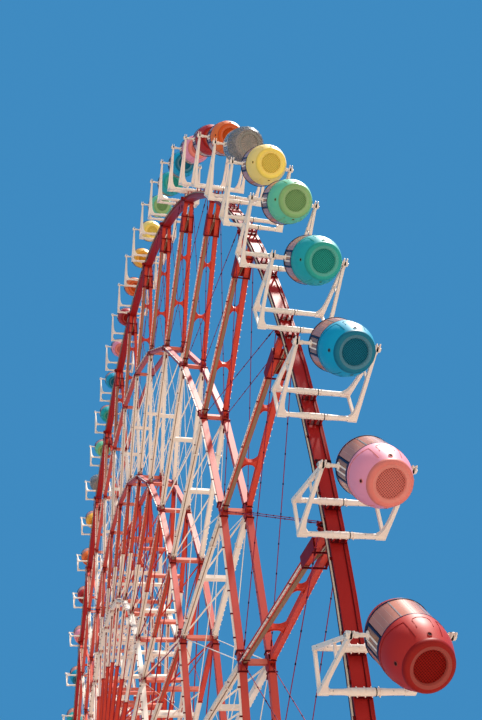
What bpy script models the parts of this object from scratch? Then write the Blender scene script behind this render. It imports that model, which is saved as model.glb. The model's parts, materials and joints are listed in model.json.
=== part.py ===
"""Giant fairground wheel, a 1:10 scale model of a wheel about 109 m tall.

Frame: X lies in the wheel's plane, Y runs along the axle, +Z is up.
The origin is on the ground below the hub. All values are metres of the model.
"""

import math

import bmesh
import bpy
from mathutils import Vector

# Wheel
HUB_HEIGHT = 5.80
PIVOT_RADIUS = 5.00
STATION_COUNT = 64
STATION_STEP = 2 * math.pi / STATION_COUNT
FIRST_STATION = math.radians(-46.7)
CONTACT_GAP = 0.0003
SINK = 0.004

# Rim, a box girder with a flat below each station
RIM_OUTER = 4.70
RIM_INNER = 4.665
RIM_HALF_WIDTH = 0.028

# Carriers, one on each station
TUBE_RADIUS_FROM_HUB = 4.733
TUBE_HALF_SPACING = 0.0585
TUBE_HALF_SIZE = 0.016
BEARING_HALF_SPACING = 0.138
FRAME_HALF_THICKNESS = 0.008
TIP_HALF = 0.017

# Cabins
CABIN_SIDES = 8
CABIN_PROFILE = (
    (-0.176, 0.052),
    (-0.150, 0.074),
    (-0.060, 0.092),
    (0.025, 0.092),
    (0.058, 0.074),
    (0.082, 0.042),
)
STUB_ROOT = 0.070
STUB_RADIUS = 0.009
STUB_SIDES = 4
JOINTED_OF_FOUR = 3

# Spoke trusses: a front and a back chord at every second station
SPOKE_COUNT = STATION_COUNT // 2
CHORD_RIM_HALF_SPACING = 0.0165
CHORD_SLOPES = (0.038, 0.0265, 0.052)
CHORD_HALF_SIZE = 0.012
RING_HALF_SIZE = 0.010
BATTEN_HALF_SIZE = 0.007
RIM_SEAT = RIM_INNER - CONTACT_GAP
RING_RADII = (3.70, 2.795, 1.92)
OUTER_BATTENS = (4.30, 4.00)
MIDDLE_BATTEN = 3.25
INNER_BATTEN_OFFSET = 0.03

# Hub and axle
HUB_FLANGE_RADIUS = 0.36
HUB_FLANGE_HALF_THICKNESS = 0.030
HUB_BARREL_RADIUS = 0.16
HUB_SEAT = HUB_FLANGE_RADIUS + CONTACT_GAP
HUB_SIDES = SPOKE_COUNT
AXLE_RADIUS = 0.080
RUNNING_GAP = 0.0005
AXLE_SIDES = 16
AXLE_HALF_LENGTH = 0.42

# Supports
LEG_TOP_Y = 0.34
LEG_FOOT_X = 2.55
LEG_FOOT_Y = 1.35
LEG_HALF_SIZE = 0.060
LEG_TOP_X = 0.10
HEAD_COVER = 0.05
HEAD_DEPTH = 0.26
HEAD_HALF_LENGTH = 0.19
HEAD_HALF_WIDTH = 0.065
FOOTING_HEIGHT = 0.16
FOOTING_HALF = 0.26
LEG_BOTTOM = FOOTING_HEIGHT + CONTACT_GAP
LEG_TOP = HUB_HEIGHT - AXLE_RADIUS - HEAD_COVER
TIE_LEVELS = (1.7, 3.6)
TIE_HALF_SIZE = 0.030

RED = (0.55, 0.045, 0.035)
WHITE = (0.80, 0.79, 0.76)
CONCRETE = (0.50, 0.49, 0.46)
STEEL = (0.34, 0.35, 0.37)
CABIN_COLOURS = (
    (0.62, 0.09, 0.05),
    (0.80, 0.33, 0.34),
    (0.03, 0.28, 0.50),
    (0.04, 0.42, 0.42),
    (0.14, 0.50, 0.30),
    (0.80, 0.62, 0.18),
    (0.78, 0.45, 0.08),
    (0.78, 0.22, 0.05),
)


def clear_scene():
    for item in list(bpy.data.objects):
        bpy.data.objects.remove(item, do_unlink=True)


def material(name, colour, roughness=0.5, metallic=0.0):
    made = bpy.data.materials.new(name)
    made.use_nodes = True
    shader = made.node_tree.nodes["Principled BSDF"]
    shader.inputs["Base Color"].default_value = (*colour, 1.0)
    shader.inputs["Roughness"].default_value = roughness
    shader.inputs["Metallic"].default_value = metallic
    return made


def object_from(name, mesh, finish=None):
    made = bpy.data.objects.new(name, mesh)
    if finish is not None:
        made.data.materials.append(finish)
    bpy.context.scene.collection.objects.link(made)
    return made


def mesh_from(name, shape):
    mesh = bpy.data.meshes.new(name)
    bmesh.ops.recalc_face_normals(shape, faces=shape.faces)
    shape.to_mesh(mesh)
    shape.free()
    return mesh


def fused(name, shape, finish):
    """Fuses the overlapping closed pieces of a shape into one body."""
    whole = object_from(name, mesh_from(name, shape), finish)
    seed = bmesh.new()
    bmesh.ops.create_cube(seed, size=0.002)
    anchor = whole.data.polygons[0].center - whole.data.polygons[0].normal * 0.003
    bmesh.ops.translate(seed, verts=seed.verts, vec=anchor)
    helper = object_from(name + "_seed", mesh_from(name + "_seed", seed))
    union = whole.modifiers.new("fuse", "BOOLEAN")
    union.operation = "UNION"
    union.solver = "EXACT"
    union.use_self = True
    union.object = helper
    graph = bpy.context.evaluated_depsgraph_get()
    result = bpy.data.meshes.new_from_object(whole.evaluated_get(graph))
    whole.modifiers.clear()
    whole.data = result
    bpy.data.objects.remove(helper, do_unlink=True)
    return whole


def polar(radius, angle, y=0.0):
    return Vector((radius * math.cos(angle), y, HUB_HEIGHT + radius * math.sin(angle)))


def add_prism(shape, lower, upper):
    """Closes the space between two loops of points that run the same way."""
    first = [shape.verts.new(point) for point in lower]
    second = [shape.verts.new(point) for point in upper]
    count = len(first)
    shape.faces.new(first[::-1])
    shape.faces.new(second)
    for i in range(count):
        j = (i + 1) % count
        shape.faces.new((first[i], first[j], second[j], second[i]))


def add_bar(shape, start, end, side, half_side, half_deep, corner_count=4):
    """A straight bar of three or four sides; side is the direction of its width."""
    along = (end - start).normalized()
    across = (side - along * side.dot(along)).normalized() * half_side
    deep = along.cross(across).normalized() * half_deep
    corners = (across + deep, deep - across, -across - deep, across - deep)
    if corner_count == 3:
        corners = (across + deep, deep - across, -deep)
    add_prism(shape, [start + c for c in corners], [end + c for c in corners])


def add_ring(shape, profile, sides, start_angle=0.0):
    """Turns a closed (radius, y) profile about the axle."""
    rows = []
    for i in range(sides):
        angle = start_angle + 2 * math.pi * i / sides
        rows.append([shape.verts.new(polar(r, angle, y)) for r, y in profile])
    count = len(profile)
    for i in range(sides):
        j = (i + 1) % sides
        for k in range(count):
            m = (k + 1) % count
            shape.faces.new((rows[i][k], rows[i][m], rows[j][m], rows[j][k]))


def station_angle(index):
    return FIRST_STATION + STATION_STEP * index


def along_rim(angle):
    return Vector((-math.sin(angle), 0.0, math.cos(angle)))


def chord_y(radius):
    """Half the distance between the front and back chords, which bend at the first two rings."""
    first, second, _ = RING_RADII
    outer, middle, inner = CHORD_SLOPES
    spread = CHORD_RIM_HALF_SPACING + outer * (RIM_OUTER - max(radius, first))
    spread += middle * (first - min(first, max(radius, second)))
    return spread + inner * (second - min(radius, second))


def carrier_outline():
    """Corners of the open triangle in (tangential, radial) terms, and the patches that fill it."""
    low = TUBE_RADIUS_FROM_HUB - TUBE_HALF_SIZE
    high = TUBE_RADIUS_FROM_HUB + TUBE_HALF_SIZE
    near = TUBE_HALF_SPACING - TUBE_HALF_SIZE
    far = TUBE_HALF_SPACING + TUBE_HALF_SIZE
    top = PIVOT_RADIUS + TIP_HALF
    crotch = PIVOT_RADIUS - TIP_HALF
    half = [(far, low), (near, low), (near, high), (far, high), (TIP_HALF * 0.4, crotch), (TIP_HALF, top)]
    corners = [(-t, r) for t, r in half] + half
    feet = ((0, 1, 2, 3), (6, 7, 8, 9))
    rest = ((1, 7, 8, 2), (3, 2, 4, 5), (9, 8, 10, 11), (4, 10, 11, 5))
    walls = ((0, 1), (1, 7), (7, 6), (6, 9), (9, 11), (11, 5), (5, 3), (3, 0), (2, 8), (8, 10), (10, 4), (4, 2))
    return corners, feet, rest, walls


def add_carrier(shape, angle):
    """Two tubes across the rim, with an open triangle at each end that rises to the bearing."""
    out = Vector((math.cos(angle), 0.0, math.sin(angle)))
    along = along_rim(angle)
    hub = Vector((0.0, 0.0, HUB_HEIGHT))
    corners, feet, rest, walls = carrier_outline()
    inner = BEARING_HALF_SPACING - FRAME_HALF_THICKNESS
    outer = BEARING_HALF_SPACING + FRAME_HALF_THICKNESS
    levels = []
    for y in (-outer, -inner, inner, outer):
        levels.append([shape.verts.new(hub + out * r + along * t + Vector((0.0, y, 0.0))) for t, r in corners])
    for level in levels:
        for patch in rest:
            shape.faces.new([level[i] for i in patch])
    for level in (levels[0], levels[3]):
        for patch in feet:
            shape.faces.new([level[i] for i in patch])
    for first, second in ((levels[0], levels[1]), (levels[2], levels[3])):
        for i, j in walls:
            shape.faces.new((first[i], first[j], second[j], second[i]))
    for patch in feet:
        for i, j in zip(patch, patch[1:] + patch[:1]):
            shape.faces.new((levels[1][i], levels[1][j], levels[2][j], levels[2][i]))
    for side in (-1, 1):
        foot = polar(RIM_OUTER - SINK, angle) + along * (TUBE_HALF_SPACING * side)
        head = polar(TUBE_RADIUS_FROM_HUB, angle) + along * (TUBE_HALF_SPACING * side)
        add_bar(shape, foot, head, along, TUBE_HALF_SIZE * 0.8, RIM_HALF_WIDTH * 0.9)


def is_jointed(index):
    return index % 4 < JOINTED_OF_FOUR


def build_rim(finish):
    shape = bmesh.new()
    half_flat = STATION_STEP / 2
    widen = 1 / math.cos(half_flat)
    profile = (
        (RIM_OUTER * widen, -RIM_HALF_WIDTH),
        (RIM_OUTER * widen, RIM_HALF_WIDTH),
        (RIM_INNER * widen, RIM_HALF_WIDTH),
        (RIM_INNER * widen, -RIM_HALF_WIDTH),
    )
    add_ring(shape, profile, STATION_COUNT, FIRST_STATION + half_flat)
    for index in range(STATION_COUNT):
        add_carrier(shape, station_angle(index))
    return fused("rim_with_carriers", shape, finish)


def chord_section(radius, angle, side):
    """The four corners of a spoke's chord, square to the radius so that its end sits flat."""
    along = along_rim(angle)
    corners = []
    for t, y in ((-1, -1), (1, -1), (1, 1), (-1, 1)):
        centre = polar(radius, angle, side * chord_y(radius) + y * CHORD_HALF_SIZE)
        corners.append(centre + along * (t * CHORD_HALF_SIZE))
    return corners


def build_truss(name, outer_radius, inner_radius, ring_radii, batten_radii, finish):
    """One zone of the spokes: front and back chords, battens between them and the rings."""
    shape = bmesh.new()
    axle_way = Vector((0.0, 1.0, 0.0))
    for spoke in range(SPOKE_COUNT):
        angle = station_angle(2 * spoke + 1)
        following = station_angle(2 * spoke + 3)
        along = along_rim(angle)
        for side in (-1, 1):
            ends = [chord_section(r, angle, side) for r in (inner_radius, outer_radius)]
            add_prism(shape, *ends)
            for radius in ring_radii:
                here = polar(radius, angle, side * chord_y(radius))
                there = polar(radius, following, side * chord_y(radius))
                add_bar(shape, here, there, axle_way, RING_HALF_SIZE, RING_HALF_SIZE, 3)
        for radius in batten_radii:
            reach = Vector((0.0, chord_y(radius), 0.0))
            middle = polar(radius, angle)
            add_bar(shape, middle - reach, middle + reach, along, BATTEN_HALF_SIZE, BATTEN_HALF_SIZE, 3)
    return fused(name, shape, finish)


def build_trusses(red, white):
    first, second, third = RING_RADII
    lap = CHORD_HALF_SIZE + 0.004
    build_truss("outer_truss", RIM_SEAT, first - lap, (first,), OUTER_BATTENS, red)
    build_truss("middle_truss", first - lap - CONTACT_GAP, second - lap, (second,), (MIDDLE_BATTEN,), white)
    build_truss("inner_truss", second - lap - CONTACT_GAP, HUB_SEAT, (third,), (third + INNER_BATTEN_OFFSET,), red)


def cabin_mesh():
    shape = bmesh.new()
    rows = []
    for z, radius in CABIN_PROFILE:
        ring = []
        for i in range(CABIN_SIDES):
            angle = 2 * math.pi * i / CABIN_SIDES
            ring.append(shape.verts.new((radius * math.cos(angle), radius * math.sin(angle), z)))
        rows.append(ring)
    for lower, upper in zip(rows, rows[1:]):
        for i in range(CABIN_SIDES):
            j = (i + 1) % CABIN_SIDES
            shape.faces.new((lower[i], lower[j], upper[j], upper[i]))
    shape.faces.new(rows[0][::-1])
    shape.faces.new(rows[-1])
    end = BEARING_HALF_SPACING - FRAME_HALF_THICKNESS - CONTACT_GAP
    for side in (-1, 1):
        inner = [Vector((STUB_RADIUS * math.cos(2 * math.pi * i / STUB_SIDES), side * STUB_ROOT,
                         STUB_RADIUS * math.sin(2 * math.pi * i / STUB_SIDES))) for i in range(STUB_SIDES)]
        outer = [Vector((p.x, side * end, p.z)) for p in inner]
        add_prism(shape, inner, outer)
    made = fused("cabin_shape", shape, None)
    mesh = made.data
    bpy.data.objects.remove(made, do_unlink=True)
    return mesh


def build_cabins():
    finishes = [material("cabin_paint_%d" % i, colour, 0.35) for i, colour in enumerate(CABIN_COLOURS)]
    shared = cabin_mesh()
    for index in filter(is_jointed, range(STATION_COUNT)):
        mesh = shared.copy()
        cabin = object_from("cabin_%02d" % index, mesh, finishes[index % len(finishes)])
        cabin.location = polar(PIVOT_RADIUS, station_angle(index))


def build_hub(finish):
    """A barrel with a flange for each plane of spokes, a flat of the flange below each chord."""
    shape = bmesh.new()
    half_flat = math.pi / HUB_SIDES
    widen = 1 / math.cos(half_flat)
    flange_y = chord_y(HUB_SEAT)
    bore = (AXLE_RADIUS + RUNNING_GAP) * widen
    near = flange_y - HUB_FLANGE_HALF_THICKNESS
    far = flange_y + HUB_FLANGE_HALF_THICKNESS
    rim = HUB_FLANGE_RADIUS * widen
    profile = (
        (bore, -far), (rim, -far), (rim, -near), (HUB_BARREL_RADIUS, -near),
        (HUB_BARREL_RADIUS, near), (rim, near), (rim, far), (bore, far),
    )
    add_ring(shape, profile, HUB_SIDES, station_angle(1) + half_flat)
    return object_from("hub", mesh_from("hub", shape), finish)


def build_axle(finish):
    shape = bmesh.new()
    ends = []
    for y in (-AXLE_HALF_LENGTH, AXLE_HALF_LENGTH):
        ends.append([polar(AXLE_RADIUS, 2 * math.pi * i / AXLE_SIDES, y) for i in range(AXLE_SIDES)])
    add_prism(shape, ends[0], ends[1])
    return object_from("axle", mesh_from("axle", shape), finish)


def leg_point(lean, side, height):
    """A point of a leg's centre line, from its footing up to the head below the axle."""
    share = (height - LEG_BOTTOM) / (LEG_TOP - LEG_BOTTOM)
    x = LEG_FOOT_X + (LEG_TOP_X - LEG_FOOT_X) * share
    y = LEG_FOOT_Y + (LEG_TOP_Y - LEG_FOOT_Y) * share
    return Vector((lean * x, side * y, height))


def leg_section(lean, side, height):
    half = LEG_HALF_SIZE
    centre = leg_point(lean, side, height)
    return [centre + Vector((i * half, j * half, 0.0)) for i, j in ((-1, -1), (1, -1), (1, 1), (-1, 1))]


def build_support(name, side, finish):
    """One side's pair of legs, from the footings to the head that holds the axle."""
    shape = bmesh.new()
    across = Vector((0.0, 1.0, 0.0))
    for lean in (-1, 1):
        add_prism(shape, leg_section(lean, side, LEG_BOTTOM), leg_section(lean, side, LEG_TOP))
    for height in TIE_LEVELS:
        ends = [leg_point(lean, side, height) for lean in (-1, 1)]
        add_bar(shape, *ends, across, TIE_HALF_SIZE, TIE_HALF_SIZE)
    low = Vector((0.0, side * LEG_TOP_Y, HUB_HEIGHT - HEAD_DEPTH))
    high = Vector((0.0, side * LEG_TOP_Y, HUB_HEIGHT - AXLE_RADIUS - CONTACT_GAP))
    add_bar(shape, low, high, Vector((1.0, 0.0, 0.0)), HEAD_HALF_LENGTH, HEAD_HALF_WIDTH)
    return fused(name, shape, finish)


def build_footings(finish):
    for side, row in ((-1, "front"), (1, "back")):
        for lean, hand in ((-1, "left"), (1, "right")):
            shape = bmesh.new()
            bmesh.ops.create_cube(shape, size=1.0)
            size = (2 * FOOTING_HALF, 2 * FOOTING_HALF, FOOTING_HEIGHT)
            bmesh.ops.scale(shape, verts=shape.verts, vec=size)
            footing = object_from("footing_%s_%s" % (row, hand), mesh_from("footing", shape), finish)
            footing.location = (lean * LEG_FOOT_X, side * LEG_FOOT_Y, FOOTING_HEIGHT / 2)


def main():
    clear_scene()
    red = material("red_paint", RED, 0.45)
    white = material("white_paint", WHITE, 0.45)
    steel = material("steel", STEEL, 0.4, 0.7)
    build_rim(red)
    build_trusses(red, white)
    build_hub(red)
    build_axle(steel)
    build_support("front_legs", -1, white)
    build_support("back_legs", 1, white)
    build_footings(material("concrete", CONCRETE, 0.9))
    build_cabins()


main()
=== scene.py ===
"""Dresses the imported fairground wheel: lattice, carriers, barrel cabins, supports, light and camera."""

import json
import math

import bmesh
import bpy
import numpy as np
from mathutils import Matrix, Vector


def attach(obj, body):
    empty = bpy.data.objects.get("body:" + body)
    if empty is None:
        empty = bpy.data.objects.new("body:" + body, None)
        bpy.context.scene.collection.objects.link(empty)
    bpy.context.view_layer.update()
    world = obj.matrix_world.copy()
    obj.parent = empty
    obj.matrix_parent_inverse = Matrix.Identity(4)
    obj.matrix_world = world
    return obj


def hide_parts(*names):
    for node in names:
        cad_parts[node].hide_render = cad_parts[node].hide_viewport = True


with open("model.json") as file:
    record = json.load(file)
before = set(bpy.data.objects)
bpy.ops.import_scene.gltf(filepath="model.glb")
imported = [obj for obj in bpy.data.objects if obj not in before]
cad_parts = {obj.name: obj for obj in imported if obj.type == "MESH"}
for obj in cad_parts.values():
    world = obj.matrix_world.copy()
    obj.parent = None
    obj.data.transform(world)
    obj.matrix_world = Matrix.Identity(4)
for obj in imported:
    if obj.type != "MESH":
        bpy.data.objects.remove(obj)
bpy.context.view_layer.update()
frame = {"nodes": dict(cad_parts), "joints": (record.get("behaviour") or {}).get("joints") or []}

# Wheel, in metres of the 1:10 model
JOINTS = {joint["name"]: joint for joint in frame["joints"]}
HUB = Vector(JOINTS["wheel_turn"]["pos_m"])
FIRST_PIVOT = Vector(JOINTS["cabin_00_swing"]["pos_m"]) - HUB
PIVOT_RADIUS = FIRST_PIVOT.length
FIRST_STATION = math.atan2(FIRST_PIVOT.z, FIRST_PIVOT.x)
STATION_COUNT = 64
STATION_STEP = 2 * math.pi / STATION_COUNT
BAY_STEP = 2 * STATION_STEP
ALL_STATIONS = range(STATION_COUNT)
SPOKE_STATIONS = range(1, STATION_COUNT, 2)

# Rim
RIM_OUTER = 4.700
RIM_INNER = 4.665
RIM_HALF_WIDTH = 0.028
RIM_FIN_Y = 0.014
PIPE_Y = -0.0345
PIPE_R = 4.692
ROD_R = 4.685
ROD_S = 0.010
ROD_YS = (-0.0500, 0.0220)

# Carriers
TUBE_R = 4.733
TUBE_S = 0.0585
TUBE_RADIUS = 0.0080
SLEEVE_RADIUS = 0.0112
FRAME_END = 0.1400
BEARING_RADIUS = 0.0108
STRUT_R = 4.885

# Spokes
CHORD_HALF = 0.0105
RINGS = (3.70, 2.795, 1.92)
RING_HALF = 0.0145
SLOPES = (0.038, 0.0265, 0.052)
OUTER_BATTENS = (4.30, 4.00)
MIDDLE_BATTEN = 3.25
INNER_BATTENS = (2.36, 2.12, 1.66, 1.30, 1.00, 0.64)
PAINT_CHANGES = (2.26, 1.48, 0.80)
HUB_RADIUS = 0.36
HEAD_LOW = 4.462
HEAD_HIGH = 4.585

# Cabins, with angles in degrees
BAND_LOW = -0.0720
BAND_HIGH = 0.0180
CABIN_TURN = -3.0
DOOR_EDGE = 70.0
MULLION = 23.5
CABIN_SIDES = 44
CABIN_CREASE = 28.0
CLEAR_EVERY = 15
FIRST_CLEAR = 6

# Axle and supports
AXLE_RADIUS = 0.080
AXLE_END = 0.42
HEAD_Y = 0.34
HEAD_DEPTH = 0.26
LEG_FOOT = Vector((2.55, 1.35, 0.1603))
LEG_HEAD = Vector((0.10, 0.34, 5.67))
LEG_HALF = 0.057
LEG_SPLICES = (0.90, 2.30, 3.10, 4.30, 5.00)
TIE_LEVELS = (1.70, 3.60)
FOOTING_HALF = 0.26

# Light and camera, with angles in degrees
FLOOR_REACH = 400.0
SKY_COLOUR = (0.060, 0.245, 0.470, 1.0)
SUN_COLOUR = (1.0, 0.95, 0.87)
SUN_STRENGTH = 4.9
SUN_FROM = Vector((0.615, 0.35, 0.70))
CAMERA_PLACE = (4.302857, -0.972023, 0.148397)
CAMERA_TURN = (172.3931, 12.7923, 83.4091)
CAMERA_LENS = 45.53

ORIGIN = Vector((0.0, 0.0, 0.0))
ACROSS = Vector((1.0, 0.0, 0.0))
AXLE_WAY = Vector((0.0, 1.0, 0.0))
UP = Vector((0.0, 0.0, 1.0))
CORNERS = ((-1, -1), (-1, 1), (1, -1), (1, 1))


# Materials

# Material name, colour, roughness, coat, wear, scale of the clouds, metallic, roughness of the coat
PAINTS = {
    "red": ("red_steel_paint", (0.38, 0.009, 0.006), 0.40, 0.9, 0.08, 6.0, 0.0, 0.60),
    # Lighter copy of the rim's red: painted light on the spokes, which stand in more light than the rim's
    # outer face.
    "spoke_red": ("faded_spoke_paint", (0.68, 0.084, 0.050), 0.42, 0.3),
    # Red paint lightened to salmon: painted sun glare on the battens.
    "salmon": ("salmon_batten_paint", (0.76, 0.24, 0.18), 0.42, 0.3),
    # Red lightened towards salmon: painted sun glare on the ring bars.
    "ring_red": ("faded_ring_paint", (0.58, 0.075, 0.052), 0.42, 1.0, 0.08, 6.0, 0.0, 0.56),
    # Darker violet red for the spoke heads' side plates: partly their own violet tone, partly painted shade.
    "crimson": ("crimson_plate_paint", (0.26, 0.012, 0.020), 0.42, 0.3),
    "dark_red": ("dark_red_paint", (0.13, 0.008, 0.012), 0.5),
    # The cream-pink tint on this white is painted warm light, bounced from the red parts into the shade.
    "white": ("white_steel_paint", (0.90, 0.755, 0.655), 0.42, 0.2, 0.06),
    "cream": ("cream_pipe_paint", (0.62, 0.53, 0.42), 0.5),
    "tan": ("tan_cable_tray", (0.34, 0.20, 0.13), 0.6),
    "magenta": ("magenta_rod_paint", (0.30, 0.030, 0.075)),
    "lamp": ("dark_lamp_cap", (0.045, 0.015, 0.040)),
    "black": ("black_rubber", (0.018, 0.018, 0.02), 0.65),
    "steel": ("galvanised_steel", (0.42, 0.43, 0.44), 0.38, 0.0, 0.15, 9.0, 0.85),
    "navy": ("navy_door_frame", (0.018, 0.030, 0.085), 0.35, 0.3),
    "silver": ("silver_mullion", (0.55, 0.53, 0.52), 0.3, 0.0, 0.08, 20.0, 0.6),
    "seat": ("seat_shell", (0.46, 0.20, 0.12), 0.55),
    "liner": ("cabin_liner", (0.60, 0.45, 0.38), 0.6),
    "vent": ("dark_vent", (0.05, 0.02, 0.025), 0.7),
    "floor": ("pale_floor", (0.72, 0.63, 0.53), 0.8, 0.0, 0.03, 0.4),
}
# Material name, tint and share of light that passes through
PANES = {
    "pane": ("tinted_pane", (0.66, 0.29, 0.22), 0.12),
    "door_pane": ("brown_door_pane", (0.44, 0.21, 0.13), 0.12),
    "clear_pane": ("clear_pane", (0.86, 0.87, 0.88), 0.92),
}
# Colours of the shell and of the base
CABIN_COLOURS = {
    "cabin_red": ((0.48, 0.025, 0.014), (0.32, 0.014, 0.009)),
    "cabin_pink": ((0.86, 0.32, 0.41), (0.74, 0.22, 0.18)),
    "cabin_blue": ((0.004, 0.350, 0.530), (0.012, 0.170, 0.250)),
    "cabin_teal": ((0.026, 0.390, 0.390), (0.036, 0.350, 0.285)),
    "cabin_green": ((0.180, 0.570, 0.340), (0.270, 0.430, 0.180)),
    "cabin_yellow": ((0.960, 0.680, 0.220), (0.930, 0.640, 0.140)),
    "cabin_golden": ((0.920, 0.460, 0.055), (0.800, 0.350, 0.032)),
    "cabin_orange": ((0.860, 0.190, 0.026), (0.660, 0.110, 0.018)),
}
CABIN_ORDER = tuple(CABIN_COLOURS)
CLEAR_COLOUR = (0.24, 0.22, 0.20)
PALE_RING = (0.6, 0.5, 0.42)
LOW_SPECULAR = 0.08
FINISHES = {}


class Look:
    """A node material that is put together one node at a time."""

    def __init__(self, name):
        self.material = bpy.data.materials.new(name)
        self.material.use_nodes = True
        self.tree = self.material.node_tree
        self.shader = self.tree.nodes["Principled BSDF"]
        self.place = self.node("ShaderNodeTexCoord").outputs["Object"]

    def node(self, kind, **values):
        made = self.tree.nodes.new(kind)
        for key, value in values.items():
            if hasattr(made, key):
                setattr(made, key, value)
            else:
                made.inputs[key.replace("_", " ").title()].default_value = value
        return made

    def link(self, source, target):
        self.tree.links.new(source, target)

    def feed(self, source, socket):
        self.link(source, self.shader.inputs[socket])

    def noise(self, scale, detail=3.0, roughness=0.5):
        made = self.node("ShaderNodeTexNoise", scale=scale, detail=detail, roughness=roughness)
        self.link(self.place, made.inputs["Vector"])
        return made.outputs["Fac"]

    def ramp(self, source, stops):
        made = self.node("ShaderNodeValToRGB")
        bands = made.color_ramp.elements
        for band, (where, colour) in zip((bands[0], bands[1]), (stops[0], stops[-1])):
            band.position = where
            band.color = (*colour, 1.0)
        for where, colour in stops[1:-1]:
            bands.new(where).color = (*colour, 1.0)
        self.link(source, made.inputs["Fac"])
        return made.outputs["Color"]

    def span(self, source, low, high):
        made = self.node("ShaderNodeMapRange")
        made.inputs["To Min"].default_value = low
        made.inputs["To Max"].default_value = high
        self.link(source, made.inputs["Value"])
        return made.outputs["Result"]

    def bump(self, source, strength, distance):
        made = self.node("ShaderNodeBump", strength=strength, distance=distance)
        self.link(source, made.inputs["Height"])
        self.feed(made.outputs["Normal"], "Normal")

    def set(self, **values):
        for key, value in values.items():
            self.shader.inputs[key.replace("_", " ")].default_value = value


def shade_of(colour, factor):
    return tuple(min(1.0, part * factor) for part in colour)


def mixed(first, second, share):
    return tuple(a + (b - a) * share for a, b in zip(first, second))


def painted(name, colour, roughness=0.4, coat=0.0, wear=0.12, scale=6.0, metallic=0.0, coat_roughness=0.48):
    """Paint with soft clouds of a darker shade, uneven gloss and a fine orange peel."""
    look = Look(name)
    shades = ((0.30, 1.0 - wear), (0.62, 1.0), (0.85, 1.0 + wear / 2))
    stops = [(where, shade_of(colour, factor)) for where, factor in shades]
    look.feed(look.ramp(look.noise(scale, 4.0, 0.6), stops), "Base Color")
    look.feed(look.span(look.noise(scale * 5.0), roughness - 0.08, roughness + 0.10), "Roughness")
    look.bump(look.noise(420.0, 2.0), 0.08, 0.001)
    look.set(Metallic=metallic, Specular_IOR_Level=LOW_SPECULAR)
    look.set(Coat_Weight=coat, Coat_Roughness=coat_roughness, Coat_IOR=1.42)
    return look.material


def concrete():
    look = Look("cast_concrete")
    stone = look.ramp(look.noise(7.0, 8.0, 0.65), ((0.3, (0.36, 0.35, 0.33)), (0.7, (0.55, 0.54, 0.51))))
    look.feed(stone, "Base Color")
    look.bump(look.noise(60.0, 6.0, 0.7), 0.4, 0.004)
    look.set(Roughness=0.9)
    return look.material


def pane(name, colour, clear):
    look = Look(name)
    tint = look.ramp(look.noise(14.0, 2.0), ((0.3, shade_of(colour, 0.86)), (0.7, colour)))
    look.feed(tint, "Base Color")
    look.set(Roughness=0.16, IOR=1.3, Transmission_Weight=clear, Coat_Weight=0.4, Coat_Roughness=0.34)
    return look.material


def grille(name, colour):
    """A disc of fine square mesh: bright wires, with painted shade in the gaps between them."""
    look = Look(name)
    waves = []
    for turn in (math.radians(45), math.radians(-45)):
        place = look.node("ShaderNodeMapping")
        place.inputs["Rotation"].default_value = (0.0, 0.0, turn)
        look.link(look.place, place.inputs["Vector"])
        wave = look.node("ShaderNodeTexWave", scale=56.0)
        look.link(place.outputs["Vector"], wave.inputs["Vector"])
        waves.append(wave.outputs["Fac"])
    both = look.node("ShaderNodeMath", operation="MULTIPLY")
    for wave, socket in zip(waves, both.inputs):
        look.link(wave, socket)
    # The dark stops are painted shade in the gaps of the mesh.
    mesh = look.ramp(both.outputs["Value"], ((0.12, colour), (0.42, shade_of(colour, 0.45))))
    look.feed(mesh, "Base Color")
    look.bump(both.outputs["Value"], 0.5, 0.002)
    look.set(Roughness=0.6, Specular_IOR_Level=LOW_SPECULAR)
    return look.material


def make_finishes():
    FINISHES.update((finish, painted(*values)) for finish, values in PAINTS.items())
    FINISHES.update((finish, pane(*values)) for finish, values in PANES.items())
    FINISHES["concrete"] = concrete()
    clear = ("cabin_clear", (CLEAR_COLOUR, CLEAR_COLOUR))
    for name, (shell, base) in (*CABIN_COLOURS.items(), clear):
        FINISHES[name] = painted(name + "_gloss", shell, 0.45, 1.0, 0.05, 9.0, 0.0, 0.58)
        FINISHES[name + "_base"] = painted(name + "_base_ring", base, 0.45, 0.4)
        FINISHES[name + "_ring"] = painted(name + "_light_ring", mixed(base, PALE_RING, 0.14))
        FINISHES[name + "_grille"] = grille(name + "_grille", shade_of(base, 0.85))


# Places


def about(middle, half):
    return middle - half, middle + half


def radial(angle):
    """The way outwards from the hub at an angle."""
    return Vector((math.cos(angle), 0.0, math.sin(angle)))


def station_angle(index):
    return FIRST_STATION + STATION_STEP * index


def station_axes(index):
    """A station's axes: x against the way of the index, y along the axle, z outwards."""
    out = radial(station_angle(index))
    return np.array((Vector((out.z, 0.0, -out.x)), AXLE_WAY, out))


def at(s, y, r):
    """A point of a station's frame: s runs along the rim towards the next station, r outwards."""
    return Vector((-s, y, r))


def polar(angle, y, r):
    """A point in the frame of a spoke, at an angle from it towards the next one."""
    return at(r * math.sin(angle), y, r * math.cos(angle))


def chord_y(radius):
    """Half the distance between the front and back chords, which bend at the first two rings."""
    first, second, _ = RINGS
    outer, middle, inner = SLOPES
    spread = 0.0165 + outer * (RIM_OUTER - max(radius, first))
    spread += middle * (first - min(first, max(radius, second)))
    return spread + inner * (second - min(radius, second))


# Shapes


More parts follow.
